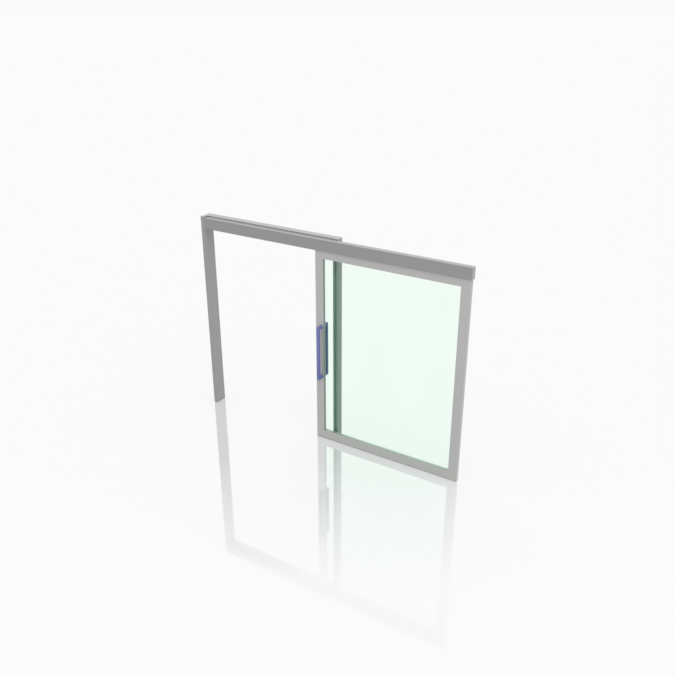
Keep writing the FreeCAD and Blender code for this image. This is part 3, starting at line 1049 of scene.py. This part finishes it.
@dataclass
class LeafFrame(SubAssembly):
    """The leaf's stiles and rails, with its seals, its channel's cap and its corner plugs."""

    profile_edge: float = 0.7 * MM
    strip_edge: float = 0.3 * MM
    seal_base: float = 1.2 * MM
    seal_lip: float = 3.4 * MM
    seal_bulb: tuple[float, float] = (0.3, 0.7)
    seal_taper: float = 0.45
    sweep_carrier: float = 2.4 * MM
    sweep_step: float = 0.4 * MM
    sweep_taper: float = 0.7
    channel_depth: float = 27 * MM
    foot_plug_rises: tuple[float, float] = (46 * MM, 76 * MM)
    head_plug_rises: tuple[float, float] = (28 * MM, 62 * MM)

    def edge_seal(self) -> None:
        """A rubber seal with a rounded bulb between two lips, down the leading edge."""
        low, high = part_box("leading_edge_seal")
        base = high.x - self.seal_base
        seal = Bench.block("edge_seal_profile", Vector((base, low.y, low.z)), high)
        width = high.y - low.y
        lip = self.seal_lip / width
        strips = (0.0, lip, *self.seal_bulb, 1 - lip, 1.0)
        with Bench.editing(seal):
            for share in strips[1:-1]:
                bpy.ops.mesh.select_all(action="SELECT")
                bpy.ops.mesh.bisect(plane_co=(0, low.y + share * width, 0), plane_no=BACK)
            for first, last in ((0, 1), (2, 3), (4, 5)):
                start, end = (low.y + strips[place] * width for place in (first, last))
                Bench.pick_faces(seal, towards(-RIGHT, lambda middle: start < middle.y < end))
                Bench.extrude(RIGHT * (low.x - base))
                bpy.ops.transform.resize(value=(1, self.seal_taper, 1))
        Bench.soften(seal, width=0.5 * MM, segments=3)
        self.add(seal, self.finishes.rubber, Slot.RUBBER, "leading_edge_seal")

    def foot_sweep(self) -> None:
        """The brush under the leaf's front wall, its carrier and its return at the right stile."""
        low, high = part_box("bottom_sweep_seal")
        step = BACK * self.sweep_step
        seam = high.z - self.sweep_carrier
        self.plain_block("foot_sweep_carrier", Vector((low.x, low.y, seam)), high,
                         self.strip_edge, self.finishes.rail, Slot.LEAF)
        pile = Bench.block("foot_sweep_pile", low + step, Vector((high.x, high.y, seam)) - step)
        with Bench.editing(pile):
            Bench.pick_faces(pile, towards(-UP))
            bpy.ops.transform.resize(value=(1, self.sweep_taper, 1))
        Bench.soften(pile, width=0.2 * MM)
        self.add(pile, self.finishes.sweep, Slot.GASKET, "bottom_sweep_seal")
        self.plain_block(
            "foot_sweep_return", Vector((high.x - (high.y - low.y), high.y, low.z)),
            Vector((high.x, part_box("right_stile")[1].y, high.z)), self.strip_edge,
            self.finishes.rail, Slot.LEAF)

    def channel_cap(self) -> None:
        """The cap in the right stile's side that closes the end of the guide channel."""
        low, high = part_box("right_stile")
        under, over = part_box("bottom_sweep_seal")
        wall = over.y - under.y
        self.plain_block(
            "channel_end_cap", Vector((high.x - wall, low.y + wall, low.z)),
            Vector((high.x, high.y - wall, low.z + self.channel_depth)), self.strip_edge,
            self.finishes.stile, Slot.LEAF)

    def corner_plugs(self) -> None:
        """Low plugs over the screws that join each rail to the right stile."""
        low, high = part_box("right_stile")
        middle = (low.y + high.y) / 2
        spots = {}
        for place, start, rises in (("foot", low.z, self.foot_plug_rises),
                                    ("head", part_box("top_rail")[0].z, self.head_plug_rises)):
            for number, rise in enumerate(rises, 1):
                spots[f"{place}_corner_plug_{number}"] = facing(
                    Vector((high.x, middle, start + rise)), RIGHT)
        self.repeat(CoverPlug(radius=5 * MM, height=0.7 * MM).build("corner_plug_pattern"), spots,
                    self.finishes.stile, Slot.LEAF)

    def build(self) -> None:
        """Builds and dresses the leaf's frame."""
        for side in ("left", "right"):
            self.dress(side + "_stile", self.finishes.stile, self.profile_edge)
        for place in ("top", "bottom"):
            self.dress(place + "_rail", self.finishes.rail, self.profile_edge)
        self.dress("left_stile_foot_plug", self.finishes.nylon, edge=0.6 * MM)
        self.edge_seal()
        self.foot_sweep()
        self.channel_cap()
        self.corner_plugs()


@dataclass
class Glazing(SubAssembly):
    """The pane and the gaskets that hold it."""

    def build(self) -> None:
        """Dresses the pane and its gaskets."""
        self.dress("glass_pane", self.finishes.glass)
        for face in ("front", "rear"):
            self.dress(face + "_glazing_gasket", self.finishes.gasket, edge=0.4 * MM)


@dataclass
class PullHandle(SubAssembly):
    """A long bar on two posts, on one face of the leaf."""

    face: str = "front"
    long_round: float = 3 * MM
    end_round: float = 1.2 * MM
    post_round: float = 1.6 * MM
    rose: float = 3 * MM
    rose_thick: float = 1.2 * MM
    rose_edge: float = 0.5 * MM
    sharp: float = 60.0

    def bar(self) -> None:
        """The bar: rounded along its length, crisper at its ends."""
        node = self.face + "_pull_bar"
        low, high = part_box(node)
        bar = Bench.block(self.face + "_pull_grip", low, high)
        with Bench.editing(bar, "EDGE"):
            Bench.pick_edges(bar, lambda middle, line: abs(line.z) > ALIGNED)
            bpy.ops.mesh.bevel(offset=self.long_round, segments=5, affect="EDGES")
        Bench.soften(bar, self.end_round, segments=3, angle=self.sharp)
        self.add(bar, self.finishes.handle, Slot.HANDLE, node)

    def post(self, place: str, outward: Vector) -> None:
        """A post with the flat rose under it and the set screw that clamps it.

        Args:
            place: Which post: upper or lower.
            outward: The direction from the leaf to the bar.
        """
        node = f"{self.face}_pull_{place}_post"
        low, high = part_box(node)
        post = Bench.block(f"{self.face}_pull_{place}_arm", low, high)
        Bench.soften(post, self.post_round, segments=3)
        self.add(post, self.finishes.handle, Slot.HANDLE, node)
        foot = low.y if outward.y > 0 else high.y
        edge = Vector((self.rose, 0, self.rose))
        corners = (Vector((low.x, foot, low.z)) - edge,
                   Vector((high.x, foot, high.z)) + edge + outward * self.rose_thick)
        self.plain_block(
            f"{self.face}_pull_{place}_rose", Vector(map(min, *corners)),
            Vector(map(max, *corners)), self.rose_edge, self.finishes.handle, Slot.HANDLE)
        screw = SocketScrew(radius=2.6 * MM, height=0.8 * MM, socket=1.3 * MM, depth=0.7 * MM)
        self.repeat(screw.build("set_screw_pattern"),
                    {f"{self.face}_pull_{place}_screw": facing(underside(node), -UP)},
                    self.finishes.zinc, Slot.ZINC)

    def build(self) -> None:
        """Models the handle."""
        self.bar()
        outward = -BACK if self.face == "front" else BACK
        for place in ("upper", "lower"):
            self.post(place, outward)


@dataclass
class RunningGear(SubAssembly):
    """One carriage with its wheels, bearings and the bolt that carries the leaf."""

    side: str = "left"
    pitch: float = 1.75 * MM
    thread: float = 1.0 * MM
    bolt: float = 6 * MM
    wind_steps: int = 20
    thread_start: float = 0.75
    slack: float = 0.1 * MM
    middle_reach: float = 0.5 * MM
    nut: float = 8 * MM
    nut_radius: float = 9.8 * MM
    washer: float = 1.5 * MM
    washer_radius: float = 10 * MM
    bearing: float = 9 * MM
    bearing_stand: float = 1.5 * MM
    rivet_radius: float = 7 * MM
    rivet_height: float = 2 * MM
    rivet_sides: int = 28
    plate_front: float = -40 * MM

    def threaded_rod(self, foot: Vector, top: float) -> None:
        """The threaded bolt, its thread wound as a helix.

        Args:
            foot: The bolt's foot, on its axis.
            top: How high it reaches.
        """
        turns = int((top - foot.z) / self.pitch) - 1
        core = self.bolt - self.thread
        Bench.clear()
        bpy.ops.mesh.primitive_plane_add(size=self.pitch, location=(0, 0, 0),
                                         rotation=(math.radians(90), 0, 0))
        rod = Bench.claim(self.side + "_hanger_thread")
        with Bench.editing(rod, "EDGE"):
            bpy.ops.mesh.delete(type="ONLY_FACE")
            Bench.pick_edges(rod, lambda middle, line: middle.x < 0
                             or abs(middle.z) > self.slack)
            bpy.ops.mesh.delete(type="EDGE")
            Bench.pick_edges(rod, lambda middle, line: True)
            bpy.ops.mesh.subdivide(number_cuts=1)
        for point in rod.data.vertices:
            crest = abs(point.co.z) < MERGE
            point.co.x = self.bolt if crest else core
            point.co.y = 0.0
        Bench.hold(rod)
        wind = rod.modifiers.new("wind", "SCREW")
        wind.axis = "Z"
        wind.steps = self.wind_steps
        wind.render_steps = self.wind_steps
        wind.screw_offset = self.pitch
        wind.iterations = turns
        wind.use_merge_vertices = True
        wind.merge_threshold = MERGE
        bpy.ops.object.modifier_apply(modifier=wind.name)
        rod.data.transform(Matrix.Translation(foot + UP * self.pitch * self.thread_start))
        with Bench.editing(rod, "EDGE"):
            bpy.ops.mesh.select_all(action="SELECT")
            bpy.ops.mesh.remove_doubles(threshold=MERGE)
            bpy.ops.mesh.select_all(action="DESELECT")
            bpy.ops.mesh.select_mode(type="EDGE")
            bpy.ops.mesh.select_non_manifold()
            bpy.ops.mesh.edge_face_add()
        Bench.tidy(rod)
        self.add(rod, self.finishes.zinc, Slot.ZINC, self.side + "_hanger_bolt")

    def nut_and_washer(self, foot: Vector) -> None:
        """The chamfered lock nut and its washer.

        Args:
            foot: The bolt's foot, on its axis.
        """
        seat = foot + UP * self.washer
        washer = Bench.rod(self.side + "_hanger_washer", foot, seat, self.washer_radius)
        Bench.soften(washer, width=0.3 * MM)
        self.add(washer, self.finishes.zinc, Slot.ZINC)
        nut = Bench.rod(self.side + "_hanger_nut", seat, foot + UP * self.nut, self.nut_radius, 6)
        with Bench.editing(nut):
            Bench.pick_faces(nut, towards(UP))
            bpy.ops.mesh.inset(thickness=1.0 * MM)
            Bench.pick_faces(nut, towards(
                UP, lambda middle: (middle.xy - foot.xy).length < self.middle_reach))
            bpy.ops.mesh.inset(thickness=0.6 * MM, depth=-0.6 * MM)
        Bench.soften(nut, width=0.5 * MM)
        self.add(nut, self.finishes.zinc, Slot.ZINC)

    def bearing_ring(self, wheel: str) -> None:
        """The steel bearing's ring in a wheel's front face, and the rivet head on its axle.

        Args:
            wheel: The wheel's CAD node.
        """
        low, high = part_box(wheel)
        hub = Vector(((low.x + high.x) / 2, low.y, (low.z + high.z) / 2))
        ring = Bench.rod(wheel.replace("_wheel", "_bearing"), hub,
                         hub - BACK * self.bearing_stand, self.bearing)
        with Bench.editing(ring):
            Bench.pick_faces(ring, towards(-BACK))
            bpy.ops.mesh.inset(thickness=1.2 * MM)
            bpy.ops.mesh.inset(thickness=0.3 * MM, depth=-0.5 * MM)
            bpy.ops.mesh.inset(thickness=1.4 * MM)
            bpy.ops.mesh.inset(thickness=0.3 * MM, depth=0.5 * MM)
        Bench.soften(ring, width=0.15 * MM, segments=1)
        self.add(ring, self.finishes.zinc, Slot.ZINC)
        seat = Vector((hub.x, self.plate_front, hub.z))
        rivet = Bench.rod(wheel.replace("_wheel", "_rivet"), seat,
                          seat - BACK * self.rivet_height, self.rivet_radius, self.rivet_sides)
        with Bench.editing(rivet):
            Bench.pick_faces(rivet, towards(-BACK))
            bpy.ops.mesh.inset(thickness=2.0 * MM)
            bpy.ops.mesh.inset(thickness=0.5 * MM, depth=-0.5 * MM)
        Bench.soften(rivet, width=0.7 * MM)
        self.add(rivet, self.finishes.zinc, Slot.ZINC)

    def build(self) -> None:
        """Builds and dresses the carriage."""
        carriage = self.side + "_carriage"
        self.dress(carriage, self.finishes.zinc, edge=0.8 * MM)
        bolt = self.side + "_hanger_bolt"
        foot = underside(bolt)
        self.threaded_rod(foot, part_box(bolt)[1].z)
        self.nut_and_washer(foot)
        for end in ("left", "right"):
            wheel = f"{carriage}_{end}_wheel"
            self.dress(wheel, self.finishes.nylon, edge=0.4 * MM)
            self.bearing_ring(wheel)


@dataclass(frozen=True)
class Sun:
    """A wide, soft sun."""

    name: str
    strength: float
    towards: Vector
    width: float

    def hang(self) -> None:
        """Adds the lamp to the scene."""
        data = bpy.data.lights.new(self.name, "SUN")
        data.energy = self.strength * math.pi
        data.angle = math.radians(self.width)
        lamp = bpy.data.objects.new(self.name, data)
        lamp.rotation_euler = self.towards.to_track_quat("Z", "Y").to_euler()
        lamp.visible_glossy = False
        lamp.visible_transmission = False
        bpy.context.scene.collection.objects.link(lamp)


@dataclass
class Studio:
    """The pale floor, the white surroundings, the lamps and the camera."""

    white: float = 0.956
    sky: float = 0.40
    floor_colour: Colour = (0.51, 0.51, 0.51)
    floor_white: float = 0.985
    floor_glow: float = 0.62
    glass_lift: float = 0.05
    mirror: float = 0.47
    mirror_last: float = 0.056
    mirror_span: tuple[float, float] = (1.25, 3.0)
    polish: float = 0.04
    reach: float = 400.0
    eye: Vector = field(default_factory=lambda: Vector((5.3301, -5.9097, 4.3434)))
    tilt: float = 65.691
    heading: float = 31.998
    lens: float = 40.31
    sensor: float = 36.0
    farthest: float = 200.0

    def surroundings(self) -> None:
        """A world that looks white, and lights the door at a plain level."""
        world = bpy.data.worlds.new("surroundings")
        bpy.context.scene.world = world
        world.use_nodes = True
        sheet = Sheet(world.node_tree)
        strength = sheet.spread(self.seen_rays(sheet), self.sky, self.white, 0.0, 1.0)
        sheet.fill(world.node_tree.nodes["Background"], Color=WHITE, Strength=strength)

    @staticmethod
    def seen_rays(sheet: Sheet) -> bpy.types.NodeSocket:
        """Tells the rays that reach the eye, directly, by metal or through glass.

        Args:
            sheet: The node tree that asks.

        Returns:
            1 for such rays and 0 for others.
        """
        rays = sheet.add("LightPath").outputs
        seen = sheet.math("MAXIMUM", rays["Is Camera Ray"], rays["Is Glossy Ray"])
        seen = sheet.math("MAXIMUM", seen, rays["Is Transmission Ray"])
        return sheet.math("MULTIPLY", seen, sheet.math("LESS_THAN", rays["Diffuse Depth"], 0.5))

    def floor(self) -> None:
        """A pale floor that mirrors the door faintly and keeps its shadow."""
        Bench.clear()
        bpy.ops.mesh.primitive_plane_add(size=self.reach)
        ground = Bench.claim("floor")
        material, sheet, shader = begin("pale_floor")
        sheet.fill(shader, Base_Color=(*self.floor_colour, 1), Roughness=1.0,
                   Specular_IOR_Level=0.0)
        through = sheet.add("LightPath").outputs["Is Transmission Ray"]
        glow = sheet.add("Emission", Color=(*(self.floor_white,) * 3, 1),
                         Strength=sheet.spread(through, 1.0, 1.0 + self.glass_lift, 0.0, 1.0))
        share = sheet.math("MULTIPLY", self.seen_rays(sheet), self.floor_glow)
        lit = sheet.layer(share, shader.outputs[0], glow.outputs[0])
        gloss = sheet.add("BsdfGlossy", Color=WHITE, Roughness=self.polish)
        turn = math.radians(self.heading)
        nearness = sheet.add("VectorMath", sheet.places(), (math.sin(turn), -math.cos(turn), 0.0),
                             operation="DOT_PRODUCT").outputs["Value"]
        fade = sheet.spread(nearness, self.mirror, self.mirror_last, *self.mirror_span)
        sheet.show(sheet.layer(fade, lit, gloss.outputs[0]))
        ground.data.materials.append(material)

    def lamps(self) -> None:
        """One soft light from above, one from the front right, and a weak one from behind."""
        for sun in (
            Sun("overhead", 1.2, Vector((0.0, 0.0, 1.0)), 90.0),
            Sun("front_right", 0.34, Vector((0.72, -0.42, 0.5)), 60.0),
            Sun("behind_left", 0.14, Vector((-0.5, 0.65, 0.5)), 60.0),
        ):
            sun.hang()

    def camera(self) -> None:
        """The camera at the photograph's angle, for a square picture of 675 by 675."""
        data = bpy.data.cameras.new("camera")
        data.lens = self.lens
        data.sensor_width = self.sensor
        data.clip_end = self.farthest
        view = bpy.data.objects.new("camera", data)
        view.location = self.eye
        view.rotation_euler = (math.radians(self.tilt), 0.0, math.radians(self.heading))
        bpy.context.scene.collection.objects.link(view)
        bpy.context.scene.camera = view

    def build(self) -> None:
        """Sets up the studio."""
        bpy.context.scene.view_settings.view_transform = "Standard"
        self.surroundings()
        self.floor()
        self.lamps()
        self.camera()


def main() -> None:
    """Builds the studio, the finishes and every sub-assembly in order, and logs each one as it is
    finished.
    """
    logging.basicConfig(level=logging.INFO, format="%(name)s: %(message)s")
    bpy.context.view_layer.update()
    Studio().build()
    finishes = Finishes()
    for assembly in (
        FixedFrame(finishes),
        CoveredTrack(finishes),
        FloorGuide(finishes),
        LeafFrame(finishes, "leaf"),
        Glazing(finishes, "leaf"),
        PullHandle(finishes, "leaf", face="front"),
        PullHandle(finishes, "leaf", face="rear"),
        RunningGear(finishes, "leaf", side="left"),
        RunningGear(finishes, "leaf", side="right"),
    ):
        assembly.build()
        LOG.info("finished %s", type(assembly).__name__)
    Bench.clear()


if __name__ == "__main__":
    main()
